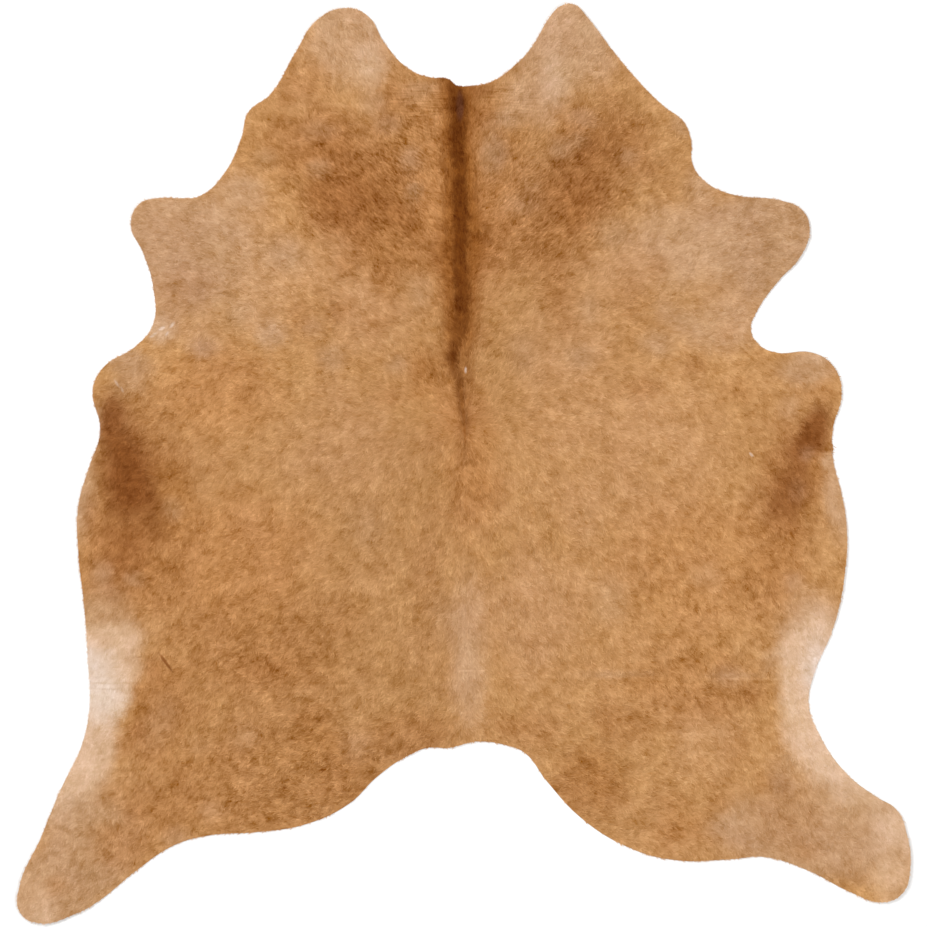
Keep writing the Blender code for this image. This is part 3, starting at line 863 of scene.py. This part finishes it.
def crease_shade(m, place, crease):
    """A painted highlight line with a painted shade line beside it, uneven along its length."""
    start, end = Vector(crease.start), Vector(crease.end)
    middle, run = (start + end) / 2, end - start
    turn = np.arctan2(run.y, run.x)
    within = m.local(place, middle, turn, (run.length / 2, crease.half_width))
    parts = m.node("SeparateXYZ", {}, {"Vector": within})
    across = Signal(m, parts.socket.node.outputs["Y"])
    ends = m.ramp(parts.math("ABSOLUTE"), 1.0, 0.9)
    reach = 1 - CREASE_OFFSET
    light = m.ramp((across - CREASE_OFFSET).math("ABSOLUTE"), reach, 0.0) * crease.light
    dark = m.ramp((across + CREASE_OFFSET).math("ABSOLUTE"), reach, 0.0) * crease.dark
    unevenness = m.ramp(m.noise(place, CREASE_UNEVENNESS_SIZE, 2.0), 0.35, 0.6)
    return (light - dark) * ends * unevenness


def wrinkle_shade(m, place, fold):
    """Painted highlight and painted shade of fine wrinkles side by side, which fade out round their
    middle.
    """
    turn = np.radians(fold.turn)
    middle = (fold.across, fold.along)
    reach = m.vector("LENGTH", m.local(place, middle, 0.0, (fold.half_width, fold.half_length)))
    along_lines = m.local(place, middle, turn, (fold.length, fold.spacing))
    return (m.noise(along_lines, 1.0, 2.0) - 0.5) * m.ramp(reach, 1.0, WRINKLE_CORE) * fold.depth


def shaded_coat(m, place, tint, shade):
    """The coat's colour with its streaks, tufts and marks, and the painted highlights and shade of its
    wrinkles, creases and folds.

    The paler the hair, the less its streaks, tufts and wrinkles show.
    """
    for fold in rows_of(Wrinkles, WRINKLES):
        shade = shade + wrinkle_shade(m, place, fold)
    parts = m.node("SeparateXYZ", {}, {"Vector": tint})
    paleness = Signal(m, parts.socket.node.outputs["Z"])
    shade = shade * (0.2 + 0.115 / (paleness + 0.028)).math("MINIMUM", 1.5)
    for crease in rows_of(Crease, CREASES):
        shade = shade + crease_shade(m, place, crease)
    tone = m.vector("MULTIPLY_ADD", shade, LIGHTER_HAIR, COAT_TONE)
    for mark in rows_of(Patch, MARKS):
        tint = m.blend(mark_mask(m, place, mark), tint, mark.colour)
    return m.vector("MULTIPLY", tint, tone)


def hair_material():
    m = Material("cow_hair")
    place = m.node("TexCoord", {}, {}, "Object")
    # Each lock is paler at its tip and darker at its root: paler tips, and painted shade at the roots.
    shade = m.attribute("shade", "Fac") + (m.attribute("tip", "Fac") - 0.5) * 0.06
    m.feed(
        base_color=shaded_coat(m, place, m.attribute("tint"), shade),
        roughness=0.6,
        **HAIR_SHEEN,
    )
    return m.material


def undercoat_material():
    m = Material("hair_roots")
    place = m.node("TexCoord", {}, {}, "Object")
    # The roots are a little darker than the coat above them: painted shade under the locks.
    shade = m.hair_shade(place, m.attribute("grows")) * m.attribute("lively", "Fac") - 0.04
    m.feed(
        base_color=shaded_coat(m, place, m.attribute("tint"), shade),
        roughness=0.8,
        **HAIR_SHEEN,
    )
    return m.material


def cut_edge_material():
    m = Material("cut_leather_edge")
    place = m.node("TexCoord", {}, {}, "Object")
    colour = m.blend(m.noise(place, 4 * MM, 3), (0.55, 0.42, 0.30), (0.38, 0.25, 0.15))
    m.feed(base_color=colour, roughness=0.85)
    return m.material


def flesh_side_material():
    m = Material("suede_flesh_side")
    place = m.node("TexCoord", {}, {}, "Object")
    nap = m.noise(place, 3 * MM, 3.0, 0.7)
    cloudy = m.ramp(m.noise(place, 90 * MM, 5.0, 0.6), 0.3, 0.7)
    colour = m.blend(cloudy, (0.56, 0.43, 0.31), (0.70, 0.59, 0.47))
    fibres = m.vector("SCALE", colour)
    m.tree.links.new((nap * 0.3 + 0.85).socket, fibres.socket.node.inputs["Scale"])
    relief = nap * 0.5 + m.noise(place, 14 * MM, 2.0)
    m.feed(base_color=fibres, roughness=0.95, normal=m.bump(relief, 0.8 * MM, 0.7))
    return m.material


def lock_shapes():
    """A few locks of hair, each a blade one unit long, wide and high that ends in a point."""
    shapes = bpy.data.collections.new("lock_shapes")
    for index, bend in enumerate((-0.5, -0.25, 0.0, 0.25, 0.5)):
        points = [(0, 0, 0.1), (-0.5 + bend, 0.4, 1), (0.5 + bend, 0.4, 1), (bend * 5, 1, 0.75)]
        mesh = bpy.data.meshes.new(f"lock_shape_{index}")
        mesh.from_pydata(points, [], [(0, 2, 1), (1, 2, 3)])
        mesh.shade_smooth()
        store(mesh, tip=np.array([0.0, 0.4, 0.4, 1.0]))
        shapes.objects.link(bpy.data.objects.new(mesh.name, mesh))
    return shapes


def coat_tree(shapes, material):
    """Geometry nodes that cover a surface with locks of hair, combed along its growth."""
    tree = bpy.data.node_groups.new("comb_coat", "GeometryNodeTree")
    face = tree.interface
    face.new_socket("Geometry", in_out="INPUT", socket_type="NodeSocketGeometry")
    sockets = {}
    for name in ("Density", "Length", "Width", "Overhang", "Seed"):
        kind = "NodeSocketInt" if name == "Seed" else "NodeSocketFloat"
        sockets[name] = face.new_socket(name, in_out="INPUT", socket_type=kind)
    face.new_socket("Geometry", in_out="OUTPUT", socket_type="NodeSocketGeometry")
    g = Graph(tree, "GeometryNode")
    given = g.node("NodeGroupInput")
    entry = given.socket.node

    def wanted(name):
        return Signal(g, entry.outputs[name])

    def attribute(name, kind="FLOAT"):
        return g.node("InputNamedAttribute", {"data_type": kind}, {"Name": name})

    def chance(low, high, seed):
        inputs = {"Min": low, "Max": high, "Seed": wanted("Seed") + seed}
        return g.node("FunctionNodeRandomValue", {"data_type": "FLOAT"}, inputs)

    points = g.node(
        "DistributePointsOnFaces",
        {"distribute_method": "RANDOM"},
        {"Mesh": wanted("Geometry"), "Density": wanted("Density"), "Seed": wanted("Seed")},
        "Points",
    )
    turned = Signal(g, points.socket.node.outputs["Rotation"])
    position = g.node("InputPosition")
    grows = attribute("grows", "FLOAT_VECTOR")
    shade = g.hair_shade(position, grows) + chance(-LOCK_CONTRAST, LOCK_CONTRAST, 11)
    shade = shade * attribute("lively")
    kept = {"Geometry": points, "Name": "shade", "Value": shade}
    points = g.node("StoreNamedAttribute", {"data_type": "FLOAT", "domain": "POINT"}, kept)

    combed = g.node(
        "FunctionNodeAlignRotationToVector",
        {"axis": "Y", "pivot_axis": "Z"},
        {"Rotation": turned, "Vector": grows},
    )
    swirl = g.noise(position, SWIRL_SIZE, 2.0)
    yaw = (swirl - 0.5) * SWIRL_YAW + chance(-STRAY_YAW, STRAY_YAW, 3)
    pitch, roll = chance(*STRAY_PITCH, 4), chance(-STRAY_ROLL, STRAY_ROLL, 5)
    turn = g.node("ShaderNodeCombineXYZ", {}, {"X": pitch, "Y": roll, "Z": yaw})
    by = g.node("FunctionNodeEulerToRotation", {}, {0: turn})
    rotation = g.node(
        "FunctionNodeRotateRotation", {"rotation_space": "LOCAL"}, {"Rotation": combed, "Rotate By": by}
    )

    length = wanted("Length") * chance(*LENGTH_SHARES, 6)
    points_at = g.node("FunctionNodeRotateVector", {}, {"Vector": (0.0, 1.0, 0.0), "Rotation": rotation})
    faces_out = g.vector("DOT_PRODUCT", points_at, attribute("outward", "FLOAT_VECTOR"))
    room = attribute("edge_gap") + wanted("Overhang") * chance(*OVERHANG_SHARES, 8)
    length = length.math("MINIMUM", room / faces_out.math("MAXIMUM", 0.05))
    height = attribute("coat_depth") * chance(*DEPTH_SHARES, 7)
    height = height.math("MINIMUM", length * STEEPEST)
    width = wanted("Width") * chance(*WIDTH_SHARES, 9)
    scale = g.node("ShaderNodeCombineXYZ", {}, {"X": width, "Y": length, "Z": height})

    given_shapes = g.node(
        "CollectionInfo", {"transform_space": "ORIGINAL"},
        {"Collection": shapes, "Separate Children": True, "Reset Children": True},
    )
    where = {"Points": points, "Rotation": rotation, "Scale": scale}
    what = {"Instance": given_shapes, "Pick Instance": True}
    placed = g.node("InstanceOnPoints", {}, {**where, **what})
    realized = g.node("RealizeInstances", {}, {"Geometry": placed})
    flat = g.vector("MULTIPLY_ADD", position, (1 / VIEW_WIDTH, 1 / VIEW_WIDTH, 0), (0.5, 0.5, 0))
    kept = {"Geometry": realized, "Name": "OFBake", "Value": flat}
    mapped = g.node("StoreNamedAttribute", {"data_type": "FLOAT2", "domain": "CORNER"}, kept)
    dressed = g.node("SetMaterial", {}, {"Geometry": mapped, "Material": material})
    end = tree.nodes.new("NodeGroupOutput")
    tree.links.new(dressed.socket, end.inputs[0])
    return tree, {name: socket.identifier for name, socket in sockets.items()}


def comb_coat(base, area):
    """The coat, in a few pieces that each cover the whole hide."""
    shapes = lock_shapes()
    tree, sockets = coat_tree(shapes, hair_material())
    pieces = []
    for index in range(COAT_PIECES):
        modifier = base.modifiers.new("coat", "NODES")
        modifier.node_group = tree
        for name, value in (
            ("Density", LOCKS_IN_A_PIECE / area), ("Length", LOCK_LENGTH), ("Width", LOCK_WIDTH),
            ("Overhang", OVERHANG), ("Seed", 100 * index + 7),
        ):
            modifier[sockets[name]] = value
        bpy.context.view_layer.update()
        shown = base.evaluated_get(bpy.context.evaluated_depsgraph_get())
        name = f"coat_layer_{index + 1}"
        piece = bpy.data.objects.new(name, bpy.data.meshes.new_from_object(shown))
        piece.data.name = name
        for used in ("grows", "edge_gap", "outward", "coat_depth", "lively"):
            piece.data.attributes.remove(piece.data.attributes[used])
        bpy.context.scene.collection.objects.link(piece)
        base.modifiers.clear()
        pieces.append(piece)
    for shape in list(shapes.objects):
        bpy.data.objects.remove(shape, do_unlink=True)
    bpy.data.collections.remove(shapes)
    return pieces


def add_studio():
    """A pale floor, soft light and a camera straight above."""
    bpy.ops.mesh.primitive_plane_add(size=60, location=(0, 0, 0))
    floor = bpy.context.object
    floor.name = "floor"
    m = Material("pale_floor")
    m.feed(base_color=(0.93, 0.93, 0.93, 1), roughness=0.9)
    floor.data.materials.append(m.material)

    world = bpy.data.worlds.new("soft_studio")
    bpy.context.scene.world = world
    world.use_nodes = True
    sky = world.node_tree.nodes["Background"]
    sky.inputs["Color"].default_value = (1, 1, 1, 1)
    sky.inputs["Strength"].default_value = 0.62

    for name, place, power, size in (
        ("key", (-3.6, 3.0, 6.4), 330, 3.0),
        ("fill", (3.4, -2.6, 6.4), 170, 4.0),
    ):
        light = bpy.data.lights.new(name, "AREA")
        light.energy = power
        light.size = size
        lamp = bpy.data.objects.new(name, light)
        lamp.location = place
        lamp.rotation_euler = (-Vector(place)).to_track_quat("-Z", "Y").to_euler()
        bpy.context.scene.collection.objects.link(lamp)

    view = bpy.data.cameras.new("from_above")
    view.sensor_width = SENSOR
    view.lens = SENSOR * CAMERA_HEIGHT / VIEW_WIDTH
    view.clip_end = 100
    camera = bpy.data.objects.new("from_above", view)
    camera.location = (0, 0, CAMERA_HEIGHT)
    bpy.context.scene.collection.objects.link(camera)
    bpy.context.scene.camera = camera
    bpy.context.scene.view_settings.view_transform = "Standard"


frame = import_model()
hide = frame["nodes"]["hide"]
skin, coat_base = build_skin(hide)
for make in (undercoat_material, cut_edge_material, flesh_side_material):
    skin.data.materials.append(make())
flat_area = sum(face.area for face in coat_base.data.polygons)
coat = comb_coat(coat_base, flat_area)
bpy.data.objects.remove(coat_base, do_unlink=True)

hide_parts("hide")
for piece in (skin, *coat):
    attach(piece, "root")
add_studio()
